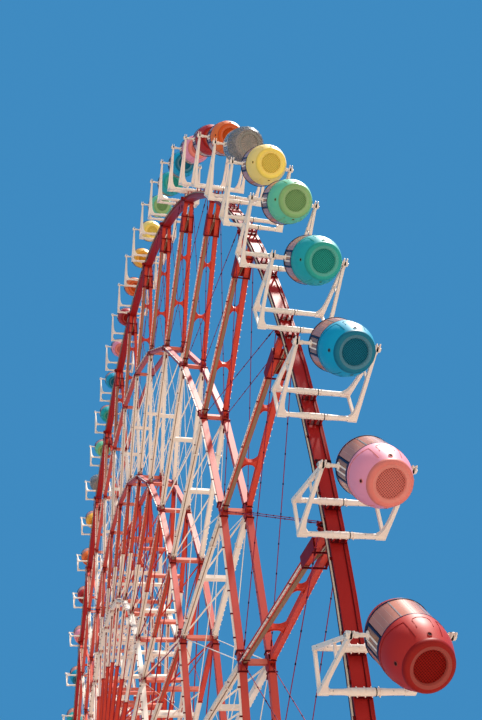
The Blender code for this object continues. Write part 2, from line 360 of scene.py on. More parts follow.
class Shape:
    """Points and faces gathered from many small parts, with one finish for each face."""

    def __init__(self):
        self.points = []
        self.faces = []
        self.finishes = []

    def add(self, points, faces, finish):
        base = len(self.points)
        self.points.extend(tuple(point) for point in points)
        self.faces.extend([base + i for i in face] for face in faces)
        self.finishes.extend([finish] * len(faces))

    def repeat(self, other, stations):
        """Adds a copy of another shape at each of the stations."""
        source = np.array(other.points)
        for station in stations:
            base = len(self.points)
            self.points.extend(map(tuple, (source @ station_axes(station)).tolist()))
            self.faces.extend([base + i for i in face] for face in other.faces)
            self.finishes.extend(other.finishes)

    def mesh(self, name, crease=32.0):
        made = bpy.data.meshes.new(name)
        made.from_pydata(self.points, [], self.faces)
        slots = {finish: i for i, finish in enumerate(dict.fromkeys(self.finishes))}
        for finish in slots:
            made.materials.append(FINISHES[finish])
        made.polygons.foreach_set("material_index", [slots[finish] for finish in self.finishes])
        made.polygons.foreach_set("use_smooth", [True] * len(made.polygons))
        shell = bmesh.new()
        shell.from_mesh(made)
        bmesh.ops.recalc_face_normals(shell, faces=shell.faces)
        shell.to_mesh(made)
        shell.free()
        made.set_sharp_from_angle(angle=math.radians(crease))
        return made


def show(made):
    bpy.context.scene.collection.objects.link(made)
    return made


def piece(name, mesh, body, nodes=(), place=None):
    made = show(bpy.data.objects.new(name, mesh))
    made.matrix_world = place or Matrix.Translation(HUB)
    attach(made, body)
    if nodes:
        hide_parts(*nodes)
    return made


def skin(shape, loops, finish, capped=True):
    """Joins a row of loops that have equally many corners, and closes both ends."""
    count = len(loops[0])
    points = [point for loop in loops for point in loop]
    faces = []
    for row in range(len(loops) - 1):
        for i in range(count):
            j = (i + 1) % count
            a = row * count
            faces.append((a + i, a + j, a + count + j, a + count + i))
    if capped:
        faces.append(tuple(range(count - 1, -1, -1)))
        last = (len(loops) - 1) * count
        faces.append(tuple(range(last, last + count)))
    shape.add(points, faces, finish)


def square_to(along, side):
    across = (side - along * side.dot(along)).normalized()
    return across, along.cross(across)


def bar(shape, start, end, side, half_side, half_deep, finish):
    across, deep = square_to((end - start).normalized(), side)
    loops = []
    for centre in (start, end):
        corners = ((1, 1), (-1, 1), (-1, -1), (1, -1))
        loops.append([centre + across * (half_side * i) + deep * (half_deep * j) for i, j in corners])
    skin(shape, loops, finish)


def turned(shape, origin, axis, profile, finish, sides=16, side=None, capped=True):
    """A turned form: each row of the profile is a distance along the axis and a radius."""
    if side is None:
        side = AXLE_WAY if abs(axis.dot(AXLE_WAY)) < 0.9 else UP
    across, deep = square_to(axis, side)
    turns = [2 * math.pi * i / sides for i in range(sides)]
    spokes = [across * math.cos(turn) + deep * math.sin(turn) for turn in turns]
    loops = [[origin + axis * along + spoke * radius for spoke in spokes] for along, radius in profile]
    skin(shape, loops, finish, capped)


def tube(shape, start, end, radius, finish, sides=10):
    profile = ((0.0, radius), ((end - start).length, radius))
    turned(shape, start, (end - start).normalized(), profile, finish, sides)


def slab(shape, outline, frame_at, half_thickness, finish):
    """A flat plate: its outline's points go through frame_at(u, v, height) to the model."""
    heights = (-half_thickness, half_thickness)
    skin(shape, [[frame_at(u, v, height) for u, v in outline] for height in heights], finish)


def cross_plate(shape, outline, y, half_thickness, finish, radius):
    """A plate square to the axle, with its outline in (s, r) from a radius."""
    slab(shape, outline, lambda s, r, h: at(s, y + h, radius + r), half_thickness, finish)


def level_square(centre, half_x, half_y):
    return [centre + Vector((i * half_x, j * half_y, 0.0)) for i, j in ((-1, -1), (1, -1), (1, 1), (-1, 1))]


def block(shape, centre, half_x, half_y, low, high):
    """An upright white block between two heights above a centre."""
    skin(shape, [level_square(centre + UP * z, half_x, half_y) for z in (low, high)], "white")


def bolt(shape, spot, way, radius, finish="steel", height=None):
    tube(shape, spot, spot + way * (height or radius * 0.8), radius, finish, 6)


def bolt_circle(shape, centre, way, circle, count, radius, first=0.0):
    """Bolts on a circle round an axis that lies along the axle."""
    for i in range(count):
        bolt(shape, centre + radial(first + 2 * math.pi * i / count) * circle, way, radius)


def square_row(steps):
    """Points on the edge of a square, at these steps along each side."""
    return [(i, j) for i in steps for j in steps if 1 in (abs(i), abs(j))]


def swept_ring(shape, profile, sides, finish, start=0.0):
    """Turns a closed profile of (radius, y) about the hub's axis."""
    count = len(profile)
    points = []
    for i in range(sides):
        out = start + 2 * math.pi * i / sides
        points.extend((r * math.cos(out), y, r * math.sin(out)) for r, y in profile)
    faces = []
    for i in range(sides):
        j = (i + 1) % sides
        for k in range(count):
            m = (k + 1) % count
            faces.append((i * count + k, i * count + m, j * count + m, j * count + k))
    shape.add(points, faces, finish)


# Carriers

# Share of the length of a carrier's leg, and the leg's width there
LEG_ROWS = (
    (-0.034, 0.0320), (0.034, 0.0310), (0.060, 0.0250), (0.095, 0.0200), (0.150, 0.0160),
    (0.240, 0.0132), (0.400, 0.0118), (0.960, 0.0110),
)


def add_cross_tube(shape, s):
    """One of a carrier's two tubes: a flanged sleeve over the rim, thinner towards both ends."""
    end = FRAME_END - 0.0015
    thin = TUBE_RADIUS
    sleeve = SLEEVE_RADIUS
    seal = sleeve + 0.0007
    profile = (
        (-end, thin), (-0.068, thin * 1.05), (-0.056, thin * 1.25), (-0.054, sleeve), (0.022, sleeve),
        (0.024, sleeve * 0.92), (0.040, sleeve * 0.92), (0.058, thin * 1.18), (end, thin * 1.1),
    )
    centre = at(s, 0.0, TUBE_R)
    turned(shape, centre, AXLE_WAY, profile, "white")
    turned(shape, centre, AXLE_WAY, ((0.0215, seal), (0.0238, seal)), "black")
    for y in (-0.053, -0.031, -0.008, 0.012, 0.034):
        add_diamond(shape, s, y, sleeve * 1.36)
    for y in (-0.100, 0.072, 0.105):
        for way in (UP, ACROSS):
            bolt(shape, at(s, y, TUBE_R) + way * (thin * 1.05), way, 0.0016)


def add_diamond(shape, s, y, reach):
    """A thin square flange that stands on its corner round a tube."""
    outline = [(s + reach, 0.0), (s, reach), (s - reach, 0.0), (s, -reach)]
    cross_plate(shape, outline, y, 0.0011, "white", TUBE_R)


def add_saddle(shape, s):
    """Ribs on a bolted pad, which hold one of the tubes on the rim."""
    pad = RIM_OUTER + 0.0030
    for y in (-0.020, 0.0, 0.020):
        bar(shape, at(s, y, RIM_OUTER - 0.002), at(s, y, TUBE_R), AXLE_WAY, 0.002, 0.007, "red")
    bar(shape, at(s, 0.0, RIM_OUTER + 0.0005), at(s, 0.0, pad), AXLE_WAY, 0.025, 0.0085, "dark_red")
    for y in (-0.022, 0.022):
        bolt(shape, at(s, y, pad), UP, 0.0020)


def add_frame_leg(shape, foot, side):
    """A leg that gets wide towards its foot, from a tube up to the bearing."""
    head = at(0.0, 0.0, PIVOT_RADIUS)
    along = (head - foot).normalized()
    thick = along.cross(AXLE_WAY).normalized()
    loops = []
    for share, width in LEG_ROWS:
        centre = foot + along * ((head - foot).length * share)
        half = 0.0062 - 0.0016 * share
        outer = side * FRAME_END
        inner = side * (FRAME_END - width)
        corners = ((half, outer), (half, inner), (-half, inner), (-half, outer))
        loops.append([centre + thick * t + AXLE_WAY * y for t, y in corners])
    skin(shape, loops, "white")


def add_end_frame(shape, side):
    """The open triangle at one end of a carrier: two legs, a tie, a strut and the bearing."""
    rise = PIVOT_RADIUS - TUBE_R
    for way in (-1, 1):
        add_frame_leg(shape, at(TUBE_S * way, 0.0, TUBE_R), side)
        for share in (0.13, 0.60):
            spot = at(TUBE_S * way * (1 - share), side * FRAME_END, TUBE_R + rise * share)
            bolt(shape, spot, AXLE_WAY * side, 0.0016)
    y = side * (FRAME_END - 0.0055)
    tie_r = TUBE_R - 0.0025
    strut_s = TUBE_S * (PIVOT_RADIUS - STRUT_R) / rise + 0.004
    bar(shape, at(TUBE_S, y, tie_r), at(-TUBE_S, y, tie_r), AXLE_WAY, 0.0050, 0.0046, "white")
    bar(shape, at(strut_s, y, STRUT_R), at(-strut_s, y, STRUT_R), AXLE_WAY, 0.0036, 0.0036, "white")
    add_bearing(shape, side)


def add_bearing(shape, side):
    """A split bearing: a white disc on each side of a dark block, with a pointed lug on top."""
    centre = at(0.0, 0.0, PIVOT_RADIUS)
    way = AXLE_WAY * side
    wide = BEARING_RADIUS
    inner_disc = ((0.1290, wide * 0.70), (0.1300, wide * 0.92), (0.1330, wide * 0.92))
    outer_disc = ((0.1380, wide), (0.1450, wide), (0.1475, wide * 0.84), (0.1478, wide * 0.55))
    turned(shape, centre, way, inner_disc, "white")
    turned(shape, centre, way, ((0.1325, wide), (0.1385, wide)), "black")
    turned(shape, centre, way, outer_disc, "white")
    turned(shape, centre, way, ((0.1470, 0.0046), (0.1510, 0.0044), (0.1520, 0.0032)), "steel", 12)
    bolt_circle(shape, centre + way * 0.1470, way, wide * 0.76, 4, 0.0011, math.pi / 4)
    lug = [(-0.0085, 0.003), (0.0085, 0.003), (0.0024, 0.0225), (-0.0024, 0.0225)]
    cheek = [(-0.0100, -0.018), (0.0100, -0.018), (0.0105, 0.0), (-0.0105, 0.0)]
    for y, outline, half in ((0.1312, lug, 0.0017), (0.1420, lug, 0.0017), (0.1355, cheek, 0.0042)):
        cross_plate(shape, outline, side * y, half, "white", PIVOT_RADIUS)


def build_carriers():
    single = Shape()
    for s in (-TUBE_S, TUBE_S):
        add_cross_tube(single, s)
        add_saddle(single, s)
    for side in (-1, 1):
        add_end_frame(single, side)
    for name, first in (("carriers_even", 0), ("carriers_odd", 1)):
        shape = Shape()
        shape.repeat(single, range(first, STATION_COUNT, 2))
        piece(name, shape.mesh(name), "wheel", ("rim_with_carriers",))


# Rim


def build_rim():
    shape = Shape()

    def ring(outline, finish):
        swept_ring(shape, outline, 2 * STATION_COUNT, finish, FIRST_STATION)

    half = RIM_HALF_WIDTH
    lip = half - 0.0035
    web = RIM_OUTER - 0.0012
    ring([(RIM_OUTER, -half), (RIM_OUTER, -lip), (web, -lip), (web, lip), (RIM_OUTER, lip), (RIM_OUTER, half),
          (RIM_INNER, half), (RIM_INNER, -half)], "red")
    # The fin along the outer face is drawn in dark red: painted shadow along the fin.
    low, high = about(RIM_OUTER, 0.002)
    near, far = about(RIM_FIN_Y, 0.0011)
    ring([(low, near), (high, near), (high, far), (low, far)], "dark_red")
    # The two thin black runs beside the front cream pipe are painted shade: the rim's shaded side face, seen
    # on both sides of the pipe.
    runs = (
        (PIPE_R, PIPE_Y, 0.0031, "cream"), (PIPE_R + 0.002, PIPE_Y + 0.0042, 0.0009, "black"),
        (PIPE_R - 0.002, PIPE_Y - 0.0044, 0.0009, "black"), (PIPE_R - 0.010, 0.0325, 0.0025, "cream"),
    )
    turns = [math.pi * i / 4 for i in range(8)]
    for r, y, radius, finish in runs:
        ring([(r + radius * math.cos(turn), y + radius * math.sin(turn)) for turn in turns], finish)
    shape.repeat(pipe_brackets(), ALL_STATIONS)
    shape.repeat(rim_splice(), [i + 1.5 for i in range(0, STATION_COUNT, 4)])
    shape.repeat(rod_clevis(), SPOKE_STATIONS)
    piece("rim", shape.mesh("rim"), "wheel", ("rim_with_carriers",))


def pipe_brackets():
    """Brackets that hold the pipes on the front of the rim."""
    shape = Shape()
    for s in (-0.115, -0.02, 0.02, 0.115):
        front = at(s, PIPE_Y - 0.001, PIPE_R)
        bar(shape, front, at(s, -RIM_HALF_WIDTH, PIPE_R), UP, 0.002, 0.005, "dark_red")
    return shape


def rim_splice():
    """A bolted cover plate across the rim's outer face, half way between two stations, in dark red: painted
    shadow of the carriers across the rim.
    """
    shape = Shape()
    low, high = at(0.0, 0.0, RIM_OUTER - 0.001), at(0.0, 0.0, RIM_OUTER + 0.0032)
    # Dark red plate: painted shadow of the carriers across the rim.
    bar(shape, low, high, AXLE_WAY, 0.0268, 0.0130, "dark_red")
    for y in (-0.0245, 0.0165, 0.0235):
        for s in (-0.006, 0.006):
            bolt(shape, at(s, y, RIM_OUTER + 0.0030), UP, 0.0028, "black", 0.0040)
    for y in (-RIM_HALF_WIDTH, RIM_HALF_WIDTH):
        left, right = (at(s, y, RIM_OUTER - 0.017) for s in (-0.012, 0.012))
        bar(shape, left, right, AXLE_WAY, 0.0014, 0.014, "dark_red")
    return shape


def rod_clevis():
    """The small lug on the front of the rim, at each spoke, that holds the tie rods."""
    shape = Shape()
    near = 0.001 - RIM_HALF_WIDTH
    rod_y = ROD_YS[0]
    reach = ROD_S + 0.004
    cheek_r = ROD_R - 0.001
    rib_r = ROD_R - 0.017
    for s in (-reach, reach):
        bar(shape, at(s, near, cheek_r), at(s / 2, rod_y - 0.004, cheek_r), UP, 0.0080, 0.0013, "red")
    tube(shape, at(-reach, rod_y, ROD_R), at(reach, rod_y, ROD_R), 0.0042, "dark_red", 8)
    bar(shape, at(0.0, near, rib_r), at(0.0, rod_y + 0.006, rib_r), UP, 0.0012, 0.014, "dark_red")
    return shape


# Spokes


def haunched(reach, thin=0.007, flare=0.034, steps=5):
    """The outline of a batten in (y, r): its edges curve up to the chords at both ends."""
    shares = [i / steps for i in range(steps + 1)]
    half = [(reach * (0.85 * share - 1), thin + flare * (1 - share) ** 2) for share in shares]
    top = half + [(-y, height) for y, height in reversed(half)]
    return top + [(y, -height) for y, height in reversed(top)]


def add_chords(shape, inner, outer, finish):
    """The front and back chords between two radii, with a bead on each edge."""
    for side in (-1, 1):
        start, end = (at(0.0, side * chord_y(radius), radius) for radius in (inner, outer))
        bar(shape, start, end, AXLE_WAY, CHORD_HALF, CHORD_HALF, finish)
        for i, j in CORNERS:
            corner = Vector((i, j, 0.0)) * (CHORD_HALF * 0.96)
            bar(shape, start + corner, end + corner, AXLE_WAY, 0.0016, 0.0016, finish)


def add_batten(shape, radius, finish):
    """A plate between the chords that widens at its ends, with a flange along each edge."""
    outline = haunched(chord_y(radius) - CHORD_HALF * 0.6)
    slab(shape, outline, lambda y, r, h: at(h, y, radius + r), CHORD_HALF * 0.55, finish)
    for height in (-1, 1):
        edge = [at(0.0, y, radius + r) for y, r in outline if r * height > 0]
        for start, end in zip(edge, edge[1:]):
            bar(shape, start, end, ACROSS, CHORD_HALF * 0.92, 0.0012, finish)


def add_crossbar(shape, radius, finish, half=0.0100):
    """A straight batten with beads along its edges."""
    reach = chord_y(radius) - CHORD_HALF * 0.6
    start, end = at(0.0, -reach, radius), at(0.0, reach, radius)
    bar(shape, start, end, UP, half, CHORD_HALF * 0.55, finish)
    for height in (-half, half):
        bar(shape, start + UP * height, end + UP * height, UP, 0.0012, CHORD_HALF * 0.92, finish)


def add_splice(shape, radius, side, finish):
    """A bolted flange across a chord."""
    centre = at(0.0, side * chord_y(radius), radius)
    lift = UP * 0.003
    bar(shape, centre - lift, centre + lift, AXLE_WAY, CHORD_HALF * 1.45, CHORD_HALF * 1.45, finish)
    for i, j in CORNERS:
        bolt(shape, centre + lift + Vector((i, j, 0.0)) * (CHORD_HALF * 1.25), UP, 0.0022)


def add_node(shape, radius, side):
    """Gusset plates where the ring tubes and tie rods meet a chord, with their bolts."""
    y = side * chord_y(radius)
    outline = [(-0.036, -0.010), (-0.020, -0.026), (0.020, -0.026), (0.036, -0.010),
               (0.036, 0.012), (0.016, 0.034), (-0.016, 0.034), (-0.036, 0.012)]
    for plate_y in about(y, CHORD_HALF * 1.12):
        cross_plate(shape, outline, plate_y, 0.0014, "red", radius)
    for s in (-0.030, -0.020, 0.020, 0.030):
        for r in (-0.006, 0.008):
            bolt(shape, at(s, y + side * CHORD_HALF * 1.25, radius + r), AXLE_WAY * side, 0.0022, "dark_red")


def add_nubs(shape, low, high):
    """Bolt heads along the outer faces of the chords."""
    count = int((high - low) / 0.036)
    for i in range(count + 1):
        radius = low + (high - low) * i / count
        for side in (-1, 1):
            spot = at(-CHORD_HALF * 0.6, side * (chord_y(radius) + CHORD_HALF), radius)
            bar(shape, spot, spot + AXLE_WAY * (side * 0.0055), UP, 0.0026, 0.0026, "white")


def add_cable_ladder(shape, start, end):
    """A white ladder for cables: two rails with rungs, and a dark clamp every so often."""
    along = (end - start).normalized()
    length = (end - start).length
    half = AXLE_WAY * 0.0028
    for shift in (-half, half):
        bar(shape, start + shift, end + shift, AXLE_WAY, 0.0009, 0.0016, "white")
    rungs = int(length / 0.026)
    for i in range(rungs):
        middle = start + along * (length * (i + 0.5) / rungs)
        bar(shape, middle - half, middle + half, along, 0.0030, 0.0007, "white")
    clamps = int(length / 0.30) + 1
    for i in range(clamps):
        middle = start + along * (length * (i + 0.5) / clamps) + ACROSS * 0.0006
        bar(shape, middle + AXLE_WAY * 0.008, middle - AXLE_WAY * 0.0042, along, 0.0026, 0.0024, "dark_red")


def add_spoke_pipes(shape, inner, outer, tray=False):
    """A cable ladder beside the front chord, and a tan pipe or tray under it."""

    def run(s, extra):
        return [at(s, -(chord_y(radius) + extra), radius) for radius in (inner, outer)]

    add_cable_ladder(shape, *run(-0.008, CHORD_HALF + 0.0045))
    if tray:
        # The wide tan tray covers most of the chord's face: partly the brown tray, partly painted shade on
        # that face of the chord.
        bar(shape, *run(-0.0118, -0.0018), AXLE_WAY, 0.0078, 0.0014, "tan")
    else:
        tube(shape, *run(-0.0122, 0.0030), 0.0020, "tan", 6)


def add_brace(shape, outer, inner, finish):
    """The crossed braces of one panel of a spoke: a pipe one way, a thin rod the other way."""
    for side, radius in ((1, 0.0040), (-1, 0.0014)):
        start = at(0.0, side * chord_y(outer), outer - 0.012)
        end = at(0.0, -side * chord_y(inner), inner + 0.012)
        tube(shape, start, end, radius, finish, 8)


def add_spoke_head(shape):
    """The open box near the rim: deep side plates, a back plate, cross bars, a brace and cable pipes."""
    top = RIM_INNER - 0.001
    deep = 0.022
    wall = CHORD_HALF + 0.0045
    outline = [(s, HEAD_LOW) for s in (-deep, deep)] + [(s, HEAD_HIGH) for s in (deep, -deep)]
    for side in (-1, 1):
        # The side plates are darker crimson: partly a violet tone of their own, partly painted shade.
        slab(shape, outline, lambda s, r, h: at(s, side * (chord_y(r) + wall) + h, r), 0.0016, "crimson")
    back = [(s / deep, r) for s, r in outline]
    slab(shape, back, lambda y, r, h: at(deep - 0.002 + h, y * (chord_y(r) + wall), r), 0.0012, "red")
    for radius in (HEAD_LOW + 0.006, HEAD_HIGH - 0.020):
        reach = chord_y(radius) + wall * 1.15
        bar(shape, at(-deep, -reach, radius), at(-deep, reach, radius), UP, 0.0026, 0.0024, "dark_red")
    reach = chord_y(top) + wall
    bar(shape, at(0.0, -reach, top - 0.008), at(0.0, reach, top - 0.008), UP, 0.006, 0.016, "red")
    low, high = HEAD_LOW + 0.018, HEAD_HIGH + 0.055
    bar(shape, at(0.0, -chord_y(low), low), at(0.0, chord_y(high - 0.04), high), UP, 0.0050, 0.006, "red")
    for shift in (-0.004, 0.004):
        foot = at(-0.006, shift + 0.012 - chord_y(low - 0.03), low - 0.010)
        bend = at(-0.006, shift + 0.006, HEAD_HIGH - 0.040)
        tube(shape, foot, bend, 0.0024, "tan", 8)
        tube(shape, bend, at(-0.006, shift + 0.014, top), 0.0024, "cream", 8)


def outer_spoke():
    shape = Shape()
    first = RINGS[0]
    add_chords(shape, first, RIM_INNER - 0.001, "spoke_red")
    for radius in OUTER_BATTENS:
        add_batten(shape, radius, "spoke_red")
    add_crossbar(shape, first, "salmon")
    add_spoke_head(shape)
    for side in (-1, 1):
        add_splice(shape, first + 0.048, side, "dark_red")
        add_node(shape, first, side)
    add_spoke_pipes(shape, first + 0.02, HEAD_LOW, True)
    add_nubs(shape, first + 0.08, HEAD_LOW - 0.04)
    return shape


def middle_spoke():
    shape = Shape()
    first, second, _ = RINGS
    add_chords(shape, second, first - 0.001, "white")
    add_crossbar(shape, MIDDLE_BATTEN, "white", 0.0110)
    add_crossbar(shape, second, "salmon")
    add_brace(shape, first, MIDDLE_BATTEN, "white")
    add_brace(shape, MIDDLE_BATTEN, second, "white")
    for side in (-1, 1):
        add_node(shape, second, side)
        add_splice(shape, second + 0.045, side, "white")
        add_splice(shape, first - 0.22, side, "white")
    add_spoke_pipes(shape, second + 0.02, first - 0.02)
    add_nubs(shape, second + 0.08, first - 0.08)
    return shape


def inner_spoke():
    """The inner third: red, white, red and white again towards the hub."""
    shape = Shape()
    _, second, third = RINGS
    stops = (second - 0.001, PAINT_CHANGES[0], third, *PAINT_CHANGES[1:], HUB_RADIUS + 0.001)
    paints = ("spoke_red", "white", "white", "spoke_red", "white")
    for outer, inner, finish in zip(stops, stops[1:], paints):
        add_chords(shape, inner, outer, finish)
    for radius, finish in zip(INNER_BATTENS, ("salmon", "white", "white", "salmon", "salmon", "white")):
        add_crossbar(shape, radius, finish, 0.0090)
    add_crossbar(shape, third, "salmon")
    upper, _, below_ring, low, lowest, _ = INNER_BATTENS
    add_brace(shape, second, upper, "spoke_red")
    add_brace(shape, upper, third, "white")
    add_brace(shape, third, below_ring, "white")
    add_brace(shape, low, lowest, "spoke_red")
    for side in (-1, 1):
        add_node(shape, third, side)
        for radius, finish in zip(PAINT_CHANGES, ("red", "red", "white")):
            add_splice(shape, radius, side, finish)
    add_spoke_pipes(shape, third + 0.02, second - 0.02)
    return shape


def ring_bay(radius, finish, half=RING_HALF):
    """The front and back ring bars from one spoke to the next, on the outer faces of the chords."""
    shape = Shape()
    trim = "dark_red" if finish == "ring_red" else finish
    lap = 0.012
    reach = chord_y(radius) + 0.004
    for y in (-reach, reach):
        start = at(lap, y, radius)
        end = polar(BAY_STEP, y, radius) + polar(BAY_STEP + math.pi / 2, 0.0, -lap)
        along = (end - start).normalized()
        bar(shape, start, end, AXLE_WAY, half, half * 0.9, finish)
        for near, way in ((start, along), (end, -along)):
            bar(shape, near + way * 0.026, near + way * 0.031, AXLE_WAY, half * 1.3, half * 1.2, trim)
        nubs = int((end - start).length / 0.09)
        for i in range(1, nubs):
            spot = start + (end - start) * (i / nubs)
            for way in (-AXLE_WAY, AXLE_WAY):
                bolt(shape, spot + way * half, way, 0.0024, trim, 0.0030)
    add_ring_strip(shape, radius, -(reach + half + 0.0045))
    return shape


def add_ring_strip(shape, radius, y):
    """The white strip in front of a ring, with dark clamps."""
    clamps = 6
    lift = polar(BAY_STEP / 2, 0.0, 0.006)
    start, end = (polar(turn, y, radius) + lift for turn in (0.012, BAY_STEP - 0.012))
    bar(shape, start, end, AXLE_WAY, 0.0044, 0.0018, "white")
    for i in range(clamps):
        middle = start.lerp(end, (i + 0.5) / clamps)
        bar(shape, middle - AXLE_WAY * 0.006, middle + AXLE_WAY * 0.008, UP, 0.0026, 0.0030, "dark_red")


def tie_rod(shape, start, end, radius, finish, beads):
    """A rod with a turnbuckle near each end and, where beads is set, small lamps that far apart."""
    tube(shape, start, end, radius, finish, 6)
    along = (end - start).normalized()
    length = (end - start).length
    for share in (0.06, 0.94):
        middle = start + along * (length * share)
        tube(shape, middle - along * 0.012, middle + along * 0.012, radius * 1.8, "dark_red", 6)
    count = int(length / beads) if beads else 0
    for i in range(1, count):
        spot = start + along * (length * i / count)
        tube(shape, spot - along * 0.0035, spot + along * 0.0035, radius * 1.6, "lamp", 6)


def rods_bay(outer, inner, radius, finish, outer_ys=None, outer_s=0.0, beads=0.0):
    """Crossed rods between one spoke and the next, front and back."""
    shape = Shape()
    shift = outer_s / outer
    for y_out, side in zip(outer_ys or (-chord_y(outer), chord_y(outer)), (-1, 1)):
        y_in = side * chord_y(inner)
        for from_turn, to_turn in ((shift, BAY_STEP), (BAY_STEP - shift, 0.0)):
            start, end = polar(from_turn, y_out, outer), polar(to_turn, y_in, inner)
            tie_rod(shape, start, end, radius, finish, beads)
    return shape


def build_trusses():
    first, second, third = RINGS
    outer_bays = (ring_bay(first, "ring_red"), rods_bay(ROD_R, first, 0.0017, "magenta", ROD_YS, ROD_S, 0.11))
    middle_bays = (ring_bay(second, "ring_red"), rods_bay(first, second, 0.0022, "white"))
    inner_bays = (ring_bay(third, "white", 0.0130), rods_bay(second, third, 0.0032, "red"),
                  rods_bay(third, PAINT_CHANGES[2], 0.0030, "red"))
    zones = (
        ("outer", "red_paint", outer_spoke(), outer_bays),
        ("middle", "white_paint", middle_spoke(), middle_bays),
        ("inner", "red_paint", inner_spoke(), inner_bays),
    )
    for zone, slot, spoke, bays in zones:
        for kind, forms in (("_spokes", (spoke,)), ("_rings_and_rods", bays)):
            shape = Shape()
            for form in forms:
                shape.repeat(form, SPOKE_STATIONS)
            piece(zone + kind, shape.mesh(zone + kind), "wheel", (zone + "_truss",))


# Cabins

# Height and radius, from the pivot
SHELL = (
    (-0.1640, 0.0672), (-0.1500, 0.0735), (-0.1350, 0.0790), (-0.1200, 0.0838), (-0.1000, 0.0866),
    (-0.0850, 0.0878), (-0.0730, 0.0884),
)
CROWN = (
    (0.0180, 0.0897), (0.0290, 0.0868), (0.0400, 0.0818), (0.0550, 0.0740), (0.0680, 0.0655),
    (0.0760, 0.0560), (0.0802, 0.0400), (0.0820, 0.0020),
)
BASE = (
    (-0.1640, 0.0672), (-0.1680, 0.0664), (-0.1730, 0.0645), (-0.1765, 0.0610), (-0.1780, 0.0565),
    (-0.1774, 0.0525),
)
LIGHT_RING = (
    (-0.1774, 0.0525), (-0.1764, 0.0490), (-0.1757, 0.0462), (-0.1757, 0.0440), (-0.1738, 0.0424),
    (-0.1690, 0.0412),
)
GRILLE = ((-0.1690, 0.0412), (-0.1680, 0.0360), (-0.1680, 0.0004))
BENCH = (
    (-0.0780, 0.050), (-0.0480, 0.050), (-0.0450, 0.054), (-0.0450, 0.078), (-0.0180, 0.081),
    (-0.0160, 0.084), (-0.0780, 0.084),
)
VENT_LIP = ((-0.001, 0.0066), (0.0012, 0.0062), (0.0012, 0.0046), (-0.0006, 0.0044))


def barrel(angle, radius, z):
    turn = math.radians(angle + CABIN_TURN)
    return Vector((radius * math.cos(turn), radius * math.sin(turn), z))


def band(inset):
    return BAND_LOW + inset, BAND_HIGH - inset


def shell_radius(z):
    rows = SHELL + CROWN
    for (z0, r0), (z1, r1) in zip(rows, rows[1:]):
        if z0 <= z <= z1:
            return r0 + (r1 - r0) * (z - z0) / (z1 - z0)
    return rows[0][1]


def add_lathe(shape, rows, finish, sides=CABIN_SIDES):
    turned(shape, ORIGIN, UP, rows, finish, sides, ACROSS, False)


def add_patch(shape, angles, levels, inset, depth, finish, columns=None):
    """A curved panel of the shell between two angles and two levels, set in or out by inset."""
    first, last = angles
    low, high = levels
    columns = columns or max(2, int(abs(last - first) / 5))
    loops = []
    for i in range(columns + 1):
        angle = first + (last - first) * i / columns
        corners = ((low, inset), (high, inset), (high, inset + depth), (low, inset + depth))
        loops.append([barrel(angle, shell_radius(z) - sunk, z) for z, sunk in corners])
    skin(shape, loops, finish)


def add_strip(shape, path, half_width, proud, finish):
    """A thin bead that runs over the shell along (angle, z) points."""
    for (a0, z0), (a1, z1) in zip(path, path[1:]):
        start, end = (barrel(a, shell_radius(z) + proud * 0.2, z) for a, z in ((a0, z0), (a1, z1)))
        bar(shape, start, end, barrel((a0 + a1) / 2, 1.0, 0.0), proud, half_width, finish)


def dense(path, step=10.0):
    """Adds points so that a long run of a path follows the barrel."""
    points = [path[0]]
    for (a0, z0), (a1, z1) in zip(path, path[1:]):
        count = max(1, int(max(abs(a1 - a0) / step, abs(z1 - z0) / 0.018)))
        points.extend((a0 + (a1 - a0) * i / count, z0 + (z1 - z0) * i / count) for i in range(1, count + 1))
    return points


def add_windows(shape, trim, glass):
    """Two bands of panes with their mullions, a door between them on each side, and two rails."""
    post = 1.0
    for half_turn in (0.0, 180.0):
        for first, last in ((-DOOR_EDGE, -MULLION), (-MULLION, MULLION), (MULLION, DOOR_EDGE)):
            left = half_turn + first + post
            right = half_turn + last - post
            add_patch(shape, (left, right), band(0.001), 0.0014, 0.0012, glass)
            for share in (0.25, 0.5, 0.75):
                seam = about(left + (right - left) * share, 0.18)
                add_patch(shape, seam, band(0.002), 0.0012, 0.001, "liner", 1)
        for angle in about(half_turn, MULLION):
            add_patch(shape, about(angle, post), band(0.0), 0.0004, 0.003, "silver", 1)
    for door in (-90.0, 90.0):
        add_door(shape, door, trim, "door_pane" if glass == "pane" else glass)
    for z in (BAND_LOW, BAND_HIGH):
        add_rail(shape, z, trim)


def add_rail(shape, z, finish):
    """A thin hoop round the barrel."""
    low, high = about(z, 0.0012)
    inner = shell_radius(z) - 0.002
    outer = shell_radius(z) + 0.0005
    add_lathe(shape, ((low, inner), (low, outer), (high, outer), (high, inner)), finish)


def add_door(shape, middle, trim, glass):
    """A framed door with three tall panes."""
    half = 90.0 - DOOR_EDGE
    jamb = 3.5
    sill = 0.008
    for first in (middle - half, middle + half - jamb):
        add_patch(shape, (first, first + jamb), band(0.0), -0.0006, 0.004, trim, 1)
    for low in (BAND_LOW, BAND_HIGH - sill):
        add_patch(shape, about(middle, half), (low, low + sill), -0.0006, 0.004, trim)
    leaf = half - 4.0
    third = leaf / 3
    for first, last in ((-leaf, -third - 1), (1 - third, third - 1), (third + 1, leaf)):
        add_patch(shape, (middle + first, middle + last), band(0.009), 0.0012, 0.0012, glass, 2)
    for angle in about(middle, third):
        add_patch(shape, about(angle, 1.6), band(0.007), 0.0002, 0.003, "white", 1)


